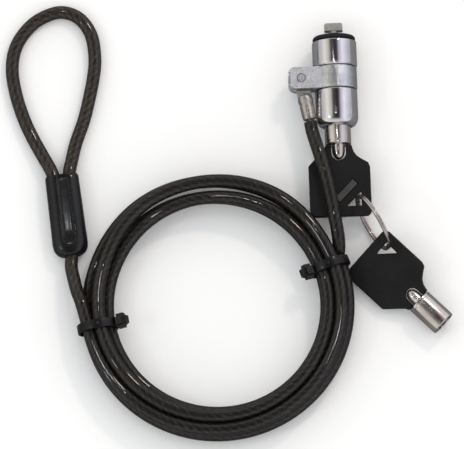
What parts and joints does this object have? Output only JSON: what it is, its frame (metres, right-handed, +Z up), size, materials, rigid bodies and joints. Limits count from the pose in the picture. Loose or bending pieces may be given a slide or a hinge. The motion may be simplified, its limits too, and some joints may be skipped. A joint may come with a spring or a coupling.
{
  "type": "laptop cable lock",
  "caption": "Coiled, tied steel security cable with a crimped eye loop, a tubular-key T-bar lock head on a pivoting swivel yoke, and tubular keys on a split ring.",
  "frame": {"origin": "middle of the whole object's box, on its resting plane", "axes": "+Z up from the resting plane; +Y from the keys towards the lock's nose; +X from the eye loop towards the lock head"},
  "size_m": [0.1608, 0.1612, 0.0229],
  "materials": {
    "jacket_pvc": "smoked clear coat over dark strand",
    "rope_steel": "twisted strand",
    "sleeve_pvc": "satin",
    "tie_nylon": "matt",
    "chrome": "polished",
    "nickel": "nickel plated",
    "pin_steel": "turned",
    "tbar_steel": "matt hardened",
    "bumper_rubber": "matt",
    "brass": "turned",
    "bow_abs": "fine texture",
    "bow_inlay": "matt",
    "ring_nickel": "polished",
    "crimp_alu": "pressed"
  },
  "bodies": {
    "cable": {"cable_jacket": "jacket_pvc", "wire_rope": "rope_steel", "loop_sleeve": "sleeve_pvc", "loop_crimp_ferrule": "crimp_alu", "cable_tie_left": "tie_nylon", "cable_tie_right": "tie_nylon", "end_ferrule": "nickel"},
    "yoke": {"swivel_yoke": "chrome", "clevis_pin": "pin_steel"},
    "core": {"t_bar": "tbar_steel", "lock_plug": "brass", "retaining_clip": "pin_steel", "key_pin_1": "pin_steel", "key_pin_2": "pin_steel", "key_pin_3": "pin_steel", "key_pin_4": "pin_steel", "key_pin_5": "pin_steel", "key_pin_6": "pin_steel", "key_pin_7": "pin_steel"},
    "shell": {"nose_bumper": "bumper_rubber", "upper_shell": "chrome", "cylinder_body": "brass", "lower_shell": "chrome", "pin_stator": "brass", "driver_pin_1": "pin_steel", "driver_pin_2": "pin_steel", "driver_pin_3": "pin_steel", "driver_pin_4": "pin_steel", "driver_pin_5": "pin_steel", "driver_pin_6": "pin_steel", "driver_pin_7": "pin_steel", "pin_spring_1": "pin_steel", "pin_spring_2": "pin_steel", "pin_spring_3": "pin_steel", "pin_spring_4": "pin_steel", "pin_spring_5": "pin_steel", "pin_spring_6": "pin_steel", "pin_spring_7": "pin_steel"},
    "key_1": {"key_1_tube": "nickel", "key_1_bow": "bow_abs", "key_1_inlay": "bow_inlay"},
    "ring": {"split_ring": "ring_nickel"},
    "key_2": {"key_2_tube": "nickel", "key_2_bow": "bow_abs", "key_2_inlay": "bow_inlay"}
  },
  "joints": [
    {"name": "clevis_pivot", "type": "hinge", "parent": "cable", "child": "yoke", "pos_m": [0.02613, 0.05131, 0.0099], "axis": [0, 0, 1], "range_deg": [0, 175]},
    {"name": "head_swivel", "type": "hinge", "parent": "yoke", "child": "core", "pos_m": [0.03788, 0.06779, 0.0081], "axis": [0.0398, -0.9992, 0], "range_deg": [0, 60]},
    {"name": "key_turn", "type": "hinge", "parent": "core", "child": "shell", "pos_m": [0.03788, 0.06779, 0.0081], "axis": [0.0398, -0.9992, 0], "range_deg": [0, 90]},
    {"name": "key_slide", "type": "slide", "parent": "core", "child": "key_1", "axis": [0.0398, -0.9992, 0], "range_m": [0, 0.005]},
    {"name": "ring_swing", "type": "hinge", "parent": "key_1", "child": "ring", "pos_m": [0.04637, 0.00673, 0.0081], "axis": [0, 0, 1], "range_deg": [0, 60]},
    {"name": "key_2_swing", "type": "hinge", "parent": "ring", "child": "key_2", "pos_m": [0.05681, -0.0105, 0.0086], "axis": [0, 0, 1], "range_deg": [0, 30]}
  ]
}
